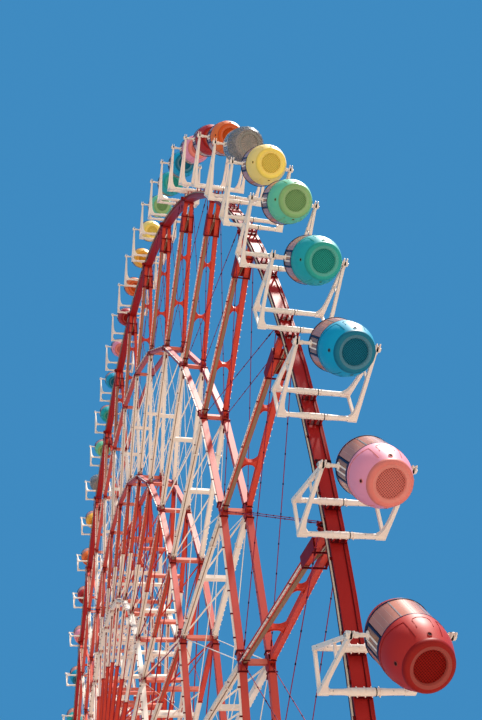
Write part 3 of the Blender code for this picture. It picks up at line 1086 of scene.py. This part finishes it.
def add_panel_lines(shape, finish):
    """The hatch outline below each door and the arched outline between the doors."""
    for middle in (-90.0, 90.0):
        hatch = [(middle - 63, -0.152), (middle - 62, -0.096), (middle - 20, -0.083), (middle + 20, -0.083),
                 (middle + 62, -0.096), (middle + 63, -0.152)]
        add_strip(shape, dense(hatch), 0.0010, 0.0007, finish)
    for middle in (0.0, 180.0):
        left = [(middle - 15, -0.128), (middle - 15, -0.102), (middle - 12, -0.095), (middle - 5, -0.0915)]
        right = [(2 * middle - angle, z) for angle, z in reversed(left)]
        add_strip(shape, dense(left + right), 0.0009, 0.0007, finish)


def add_vents(shape, lip_finish):
    """A round vent with a raised lip on each quarter of the lower shell."""
    for angle, z in ((-90, -0.147), (0, -0.154), (90, -0.147), (180, -0.154)):
        low, high = about(z, 0.004)
        slope = math.atan2(shell_radius(high) - shell_radius(low), high - low)
        way = barrel(angle, math.cos(slope), -math.sin(slope))
        spot = barrel(angle, shell_radius(z), z)
        turned(shape, spot, way, VENT_LIP, lip_finish, 10, None, False)
        # The dark disc inside the lip is painted shade in the vent's opening.
        turned(shape, spot, way, ((-0.001, 0.0046), (0.0004, 0.0046)), "vent", 8)


def add_interior(shape):
    """The floor, the ceiling and two curved benches behind the panes."""
    for low, high, edge in ((-0.0800, -0.0780, 0.0845), (0.0230, 0.0250, 0.0850)):
        add_lathe(shape, ((low, 0.002), (low, edge), (high, edge), (high, 0.002)), "liner", 24)
    for middle in (0.0, 180.0):
        angles = [middle - 48 + 12 * i for i in range(9)]
        skin(shape, [[barrel(angle, radius, z) for z, radius in BENCH] for angle in angles], "seat")


def add_stub(shape, side):
    """The short axle on one side of a cabin, with a flange on the barrel and a bush."""
    way = AXLE_WAY * side
    bush = ((0.1130, 0.0062), (0.1145, 0.0078), (0.1240, 0.0078), (0.1255, 0.0064))
    turned(shape, ORIGIN, way, ((0.0860, 0.0118), (0.0900, 0.0112), (0.0912, 0.0074)), "white", 14)
    turned(shape, ORIGIN, way, ((0.0900, 0.0056), (0.1290, 0.0056)), "white", 12)
    turned(shape, ORIGIN, way, bush, "white", 12)
    bolt_circle(shape, way * 0.0900, way, 0.0098, 4, 0.0009, math.pi / 4)


def add_cabin_base(shape, base, ring, disc):
    add_lathe(shape, BASE, base)
    add_lathe(shape, LIGHT_RING, ring)
    add_lathe(shape, GRILLE, disc, 36)
    for side in (-1, 1):
        add_stub(shape, side)


def cabin_shape(colour):
    shape = Shape()
    add_lathe(shape, SHELL, colour)
    add_lathe(shape, CROWN, colour)
    add_cabin_base(shape, colour + "_base", colour + "_ring", colour + "_grille")
    add_windows(shape, "navy", "pane")
    add_panel_lines(shape, colour + "_base")
    add_vents(shape, colour + "_ring")
    add_interior(shape)
    return shape


def add_lattice(shape, finish, ribs=20):
    """Ribs, hoops and crossed bars over a clear shell."""
    step = 360 / ribs
    levels = (-0.164, -0.140, -0.110, -0.085, -0.073)
    for angle in [step * i for i in range(ribs)]:
        for rows in (SHELL, CROWN):
            add_strip(shape, [(angle, z) for z, _ in rows], 0.0014, 0.0009, finish)
        outer, inner = (barrel(angle, radius, z) for z, radius in (BASE[3], BASE[-1]))
        bar(shape, outer, inner, UP, 0.0006, 0.0014, finish)
        bar(shape, barrel(angle, 0.041, -0.1688), barrel(angle, 0.003, -0.1688), UP, 0.0006, 0.0010, finish)
        for low, high in zip(levels, levels[1:]):
            add_strip(shape, [(angle, low), (angle + step, high)], 0.0010, 0.0008, finish)
            add_strip(shape, [(angle, high), (angle + step, low)], 0.0010, 0.0008, finish)
    for z in (*levels[1:4], 0.029, 0.055, 0.076):
        add_rail(shape, z, finish)


def clear_cabin_shape():
    """A cabin of clear panes in a grey lattice."""
    shape = Shape()
    add_lathe(shape, SHELL, "clear_pane", 48)
    add_lathe(shape, CROWN, "clear_pane", 48)
    add_cabin_base(shape, "clear_pane", "cabin_clear", "clear_pane")
    add_windows(shape, "silver", "clear_pane")
    add_lattice(shape, "cabin_clear")
    add_interior(shape)
    return shape


def build_cabins():
    """One mesh for each colour, shared by its cabins; those without a joint ride on the wheel."""
    meshes = {colour: cabin_shape(colour).mesh("shape_" + colour, CABIN_CREASE) for colour in CABIN_ORDER}
    clear = clear_cabin_shape().mesh("shape_cabin_clear", CABIN_CREASE)
    for index in ALL_STATIONS:
        colour = CABIN_ORDER[index % len(CABIN_ORDER)]
        mesh = clear if index % CLEAR_EVERY == FIRST_CLEAR else meshes[colour]
        place = Matrix.Translation(HUB + radial(station_angle(index)) * PIVOT_RADIUS)
        node = "cabin_%02d" % index
        jointed = node in frame["nodes"]
        body = node + "_body" if jointed else "wheel"
        nodes = (node,) if jointed else ()
        piece("dressed_" + node, mesh, body, nodes, place)


# Hub, axle and supports


def build_hub():
    """A ribbed barrel with two flanges, and a clevis for the foot of each chord."""
    shape = Shape()
    flange_y = chord_y(HUB_RADIUS)
    bore = AXLE_RADIUS + 0.0015

    def ring(low, high, middle, half, finish="red"):
        near, far = about(middle, half)
        swept_ring(shape, [(low, near), (high, near), (high, far), (low, far)], STATION_COUNT, finish)

    ring(bore, 0.158, 0.0, flange_y)
    for y in (-0.12, -0.04, 0.04, 0.12):
        ring(0.155, 0.167, y, 0.004)
    for side in (-1, 1):
        way = AXLE_WAY * side
        face = side * flange_y
        ring(bore, 0.345, face, 0.015)
        ring(0.334, HUB_RADIUS - 0.0006, face, 0.029)
        ring(bore, 0.132, face, 0.0295)
        ring(bore + 0.002, 0.108, face + side * 0.031, 0.003, "steel")
        outer_face = way * (flange_y + 0.015)
        for radius in (0.145, 0.322):
            bolt_circle(shape, outer_face, way, radius, len(SPOKE_STATIONS), 0.0055, station_angle(1))
    shape.repeat(flange_ribs(flange_y), range(0, STATION_COUNT, 2))
    shape.repeat(hub_clevises(flange_y), SPOKE_STATIONS)
    piece("dressed_hub", shape.mesh("hub_shape"), "wheel", ("hub",))


def flange_ribs(flange_y):
    """A rib on each face of both flanges."""
    shape = Shape()
    for side, face in CORNERS:
        y = side * (flange_y + face * 0.020)
        bar(shape, at(0.0, y, 0.130), at(0.0, y, 0.336), AXLE_WAY, 0.0085, 0.003, "red")
    return shape


def hub_clevises(flange_y):
    """Two bolted plates on each flange, which hold the foot of a chord between them."""
    shape = Shape()
    plate = [(-0.0125, -0.027), (0.0125, -0.027), (0.0115, 0.045), (-0.0115, 0.045)]
    for side, face in CORNERS:
        foot = at(face * (CHORD_HALF + 0.0028), side * flange_y, HUB_RADIUS)
        slab(shape, plate, lambda y, r, h: foot + at(h, y, r), 0.0012, "dark_red")
        for r in (0.014, 0.032):
            for y in (-0.006, 0.006):
                bolt(shape, foot + at(face * 0.001, y, r), ACROSS * -face, 0.0020)
    return shape


def build_axle():
    shape = Shape()
    half = (
        (0.400, AXLE_RADIUS - 0.0004), (0.405, 0.072), (0.407, 0.058), (AXLE_END - 0.003, 0.058),
        (AXLE_END, 0.052),
    )
    profile = [(-along, radius) for along, radius in reversed(half)] + list(half)
    turned(shape, HUB, AXLE_WAY, profile, "steel", 48)
    for way in (-AXLE_WAY, AXLE_WAY):
        bolt_circle(shape, HUB + way * 0.404, way, 0.065, 8, 0.0042)
    piece("dressed_axle", shape.mesh("axle_shape"), "support", ("axle",), Matrix())


def leg_point(lean, side, z):
    share = (z - LEG_FOOT.z) / (LEG_HEAD.z - LEG_FOOT.z)
    point = LEG_FOOT.lerp(LEG_HEAD, share)
    return Vector((point.x * lean, point.y * side, z))


def add_bolt_row(shape, centre, edge):
    """Bolts round a square flange."""
    for i, j in square_row((-1.0, -0.35, 0.35, 1.0)):
        bolt(shape, centre + Vector((i * edge, j * edge, 0.0)), UP, 0.0042, "steel", 0.006)


def add_leg(shape, lean, side):
    """A box column with edge beads, bolted splices, a stiffened base plate and anchors."""
    foot, head = (leg_point(lean, side, z) for z in (LEG_FOOT.z, LEG_HEAD.z))
    skin(shape, [level_square(end, LEG_HALF, LEG_HALF) for end in (foot, head)], "white")
    for i, j in CORNERS:
        corner = Vector((i, j, 0.0)) * LEG_HALF
        bar(shape, foot + corner, head + corner, AXLE_WAY, 0.0045, 0.0045, "white")
    for z in LEG_SPLICES:
        splice = leg_point(lean, side, z)
        block(shape, splice, 0.078, 0.078, -0.008, 0.0)
        block(shape, splice, 0.078, 0.078, 0.001, 0.009)
        add_bolt_row(shape, splice + UP * 0.009, 0.070)
    block(shape, foot, 0.130, 0.130, 0.0, 0.012)
    add_bolt_row(shape, foot + UP * 0.012, 0.116)
    rib = [(0.040, 0.012), (0.108, 0.012), (0.108, 0.022), (0.040, 0.130)]
    for way in (ACROSS, -ACROSS, AXLE_WAY, -AXLE_WAY):
        across = UP.cross(way)
        for offset in (-0.035, 0.035):
            slab(shape, rib, lambda u, v, h: foot + way * u + UP * v + across * (offset + h), 0.003, "white")


def add_ladder(shape, side):
    """A ladder with hoops on the outer face of one leg."""
    low, high = 0.32, 5.30
    steps = 138
    steps_a_hoop = 9
    half = 0.022
    gap = 0.026

    def spot(z, out, y):
        return leg_point(1, side, z) + Vector((LEG_HALF + out, y, 0.0))

    for y in (-half, half):
        bar(shape, spot(low, gap, y), spot(high, gap, y), AXLE_WAY, 0.0016, 0.0036, "steel")
    for i in range(steps):
        z = low + (high - low) * (i + 0.5) / steps
        tube(shape, spot(z, gap, -half), spot(z, gap, half), 0.0016, "steel", 6)
        if i % steps_a_hoop == steps_a_hoop // 2:
            for y in (-half, half):
                bar(shape, spot(z, -0.002, y), spot(z, gap, y), AXLE_WAY, 0.0016, 0.0016, "steel")
            turns = [math.pi * k / 6 for k in range(7)]
            hoop = [spot(z, gap + 0.062 * math.sin(turn), -0.034 * math.cos(turn)) for turn in turns]
            for start, end in zip(hoop, hoop[1:]):
                bar(shape, start, end, UP, 0.0026, 0.0009, "steel")
    for y, out in ((-0.017, 0.079), (0.017, 0.079), (0.0, 0.088)):
        bar(shape, spot(0.75, out, y), spot(high - 0.12, out, y), AXLE_WAY, 0.0018, 0.0009, "steel")


def add_tie(shape, side, z):
    """The level box between two legs, with haunches at its ends and a bolted splice in the middle."""
    left, right = (leg_point(lean, side, z) for lean in (-1, 1))
    bar(shape, left, right, AXLE_WAY, 0.028, 0.028, "white")
    inner = right.x - LEG_HALF + 0.004
    for lean, height in CORNERS:
        shift = leg_point(1, side, z + height * 0.10).x - right.x
        haunch = [(inner, 0.024), (inner - 0.10, 0.024), (inner + shift, 0.10)]
        slab(shape, haunch, lambda u, v, h: Vector((u * lean, right.y + h, z + v * height)), 0.006, "white")
    middle = Vector((0.0, right.y, z))
    for x in (-0.004, 0.004):
        near, far = (middle + ACROSS * edge for edge in about(x, 0.0018))
        bar(shape, near, far, AXLE_WAY, 0.042, 0.042, "white")
    for i, j in square_row((-1, 0, 1)):
        bolt(shape, middle + Vector((0.0055, i * 0.036, j * 0.036)), ACROSS, 0.0030)


def add_head(shape, side):
    """The block on top of two legs, with ribs, a cap plate and a split bearing housing."""
    base = AXLE_WAY * (side * HEAD_Y)
    low = HUB.z - HEAD_DEPTH
    top = HUB.z - AXLE_RADIUS - 0.0006
    rows = ((low, 0.170, 0.056), (low + 0.02, 0.186, 0.060), (top - 0.022, 0.186, 0.060))
    skin(shape, [level_square(base + UP * z, half_x, half_y) for z, half_x, half_y in rows], "white")
    block(shape, base, 0.190, 0.065, top - 0.020, top)
    for x in (-0.15, -0.09, -0.03, 0.03, 0.09, 0.15):
        for face in (-0.060, 0.060):
            foot = base + Vector((x, face, low + 0.02))
            bar(shape, foot, foot + UP * (top - low - 0.042), AXLE_WAY, 0.0045, 0.003, "white")
    for lean in (-1, 1):
        add_housing_ear(shape, base + ACROSS * (lean * 0.132), lean, top)
    add_housing(shape, HUB + base)


def add_housing(shape, centre):
    """The bearing housing round the axle: a barrel, a ring on each face and a grease nipple."""
    bore = AXLE_RADIUS + 0.001
    for near, far, radius in ((-0.054, 0.054, 0.112), (-0.0615, -0.048, 0.118), (0.048, 0.0615, 0.118)):
        rows = ((near, bore), (near, radius), (far, radius), (far, bore), (near, bore))
        turned(shape, centre, AXLE_WAY, rows, "white", 40, None, False)
    tube(shape, centre + UP * 0.110, centre + UP * 0.122, 0.007, "steel", 8)


def add_housing_ear(shape, ear, lean, low):
    """The two halves of one ear of the housing, held together by a pair of studs with nuts."""
    block(shape, ear, 0.030, 0.046, low - 0.001, HUB.z - 0.004)
    block(shape, ear, 0.030, 0.046, HUB.z + 0.001, HUB.z + 0.022)
    for y in (-0.028, 0.028):
        nut = ear + Vector((0.008 * lean, y, HUB.z + 0.022))
        bolt(shape, nut, UP, 0.0085, "steel", 0.012)
        tube(shape, nut + UP * 0.008, nut + UP * 0.022, 0.0045, "steel", 8)


def build_supports():
    for side, row in ((-1, "front"), (1, "back")):
        shape = Shape()
        for lean in (-1, 1):
            add_leg(shape, lean, side)
        for z in TIE_LEVELS:
            add_tie(shape, side, z)
        add_head(shape, side)
        add_ladder(shape, side)
        name = row + "_legs"
        piece("dressed_" + name, shape.mesh(name + "_shape"), "support", (name,), Matrix())


def build_footings():
    """Cast blocks with a bevelled shoulder and a raised pad below each leg."""
    rows = ((0.0, 1.0), (0.105, 1.0), (0.124, 0.93), (0.126, 0.72), (0.154, 0.70), (0.1597, 0.68))
    halves = [(UP * z, FOOTING_HALF * share) for z, share in rows]
    for side, row in ((-1, "front"), (1, "back")):
        for lean, hand in ((-1, "left"), (1, "right")):
            shape = Shape()
            centre = Vector((lean * LEG_FOOT.x, side * LEG_FOOT.y, 0.0))
            skin(shape, [level_square(centre + lift, half, half) for lift, half in halves], "concrete")
            name = "footing_%s_%s" % (row, hand)
            mesh = shape.mesh(name + "_shape", 20.0)
            piece("dressed_" + name, mesh, "support", (name,), Matrix())


# Floor, light and camera


def build_stage():
    shape = Shape()
    shape.add(level_square(UP * -0.001, FLOOR_REACH, FLOOR_REACH), [(0, 1, 2, 3)], "floor")
    floor = show(bpy.data.objects.new("floor", shape.mesh("floor")))


def build_light():
    world = bpy.data.worlds.new("studio")
    world.use_nodes = True
    backdrop = world.node_tree.nodes["Background"]
    backdrop.inputs["Color"].default_value = SKY_COLOUR
    backdrop.inputs["Strength"].default_value = 1.0
    bpy.context.scene.world = world
    sun = bpy.data.lights.new("key", "SUN")
    sun.energy = SUN_STRENGTH
    sun.angle = math.radians(4)
    sun.color = SUN_COLOUR
    lamp = show(bpy.data.objects.new("key", sun))
    lamp.rotation_euler = SUN_FROM.to_track_quat("Z", "Y").to_euler()


def set_tones():
    """A plain transform with a little more contrast, as in the photograph."""
    bpy.context.scene.view_settings.view_transform = "Standard"
    bpy.context.scene.view_settings.look = "Medium High Contrast"


def build_camera():
    """The photograph's camera: low on the right of the wheel, tilted up and turned on its side."""
    lens = bpy.data.cameras.new("photo_view")
    lens.sensor_fit = "AUTO"
    lens.sensor_width = 36.0
    lens.lens = CAMERA_LENS
    camera = show(bpy.data.objects.new("photo_view", lens))
    camera.location = CAMERA_PLACE
    camera.rotation_euler = [math.radians(angle) for angle in CAMERA_TURN]
    bpy.context.scene.camera = camera


make_finishes()
build_rim()
build_carriers()
build_trusses()
build_cabins()
build_hub()
build_axle()
build_supports()
build_footings()
build_stage()
build_light()
set_tones()
build_camera()
